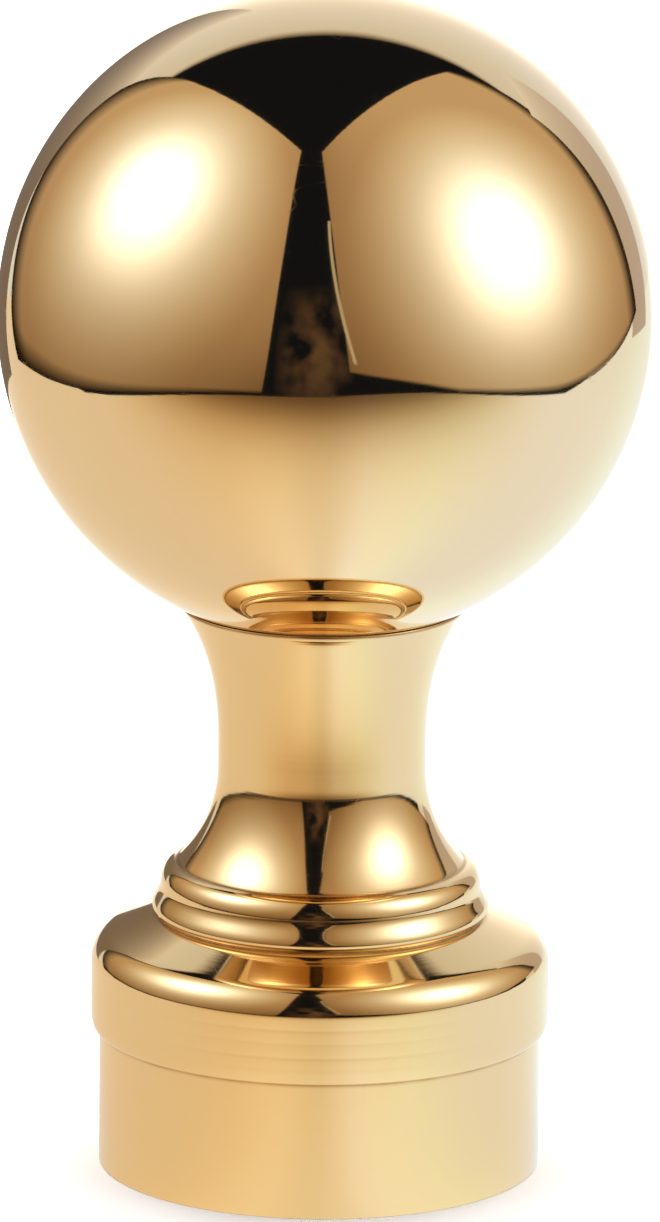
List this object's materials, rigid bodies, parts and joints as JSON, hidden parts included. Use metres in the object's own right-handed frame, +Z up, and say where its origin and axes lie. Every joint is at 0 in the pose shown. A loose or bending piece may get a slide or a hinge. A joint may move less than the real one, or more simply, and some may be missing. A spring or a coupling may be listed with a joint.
{
  "type": "flagpole finial",
  "caption": "Polished brass ball finial on a flared, ringed neck, with a round socket sleeve that slips over the top of a flagpole.",
  "frame": {"origin": "centre of the round foot, on the plane that the finial stands on", "axes": "+Z up along the axis of the ball, neck and sleeve; X and Y are across it"},
  "size_m": [0.076, 0.076, 0.1394],
  "materials": {
    "ball_brass": "mirror polished",
    "neck_brass": "mirror polished",
    "sleeve_brass": "bright polished"
  },
  "bodies": {
    "root": {"ball": "ball_brass", "neck": "neck_brass", "socket_sleeve": "sleeve_brass"}
  },
  "joints": []
}
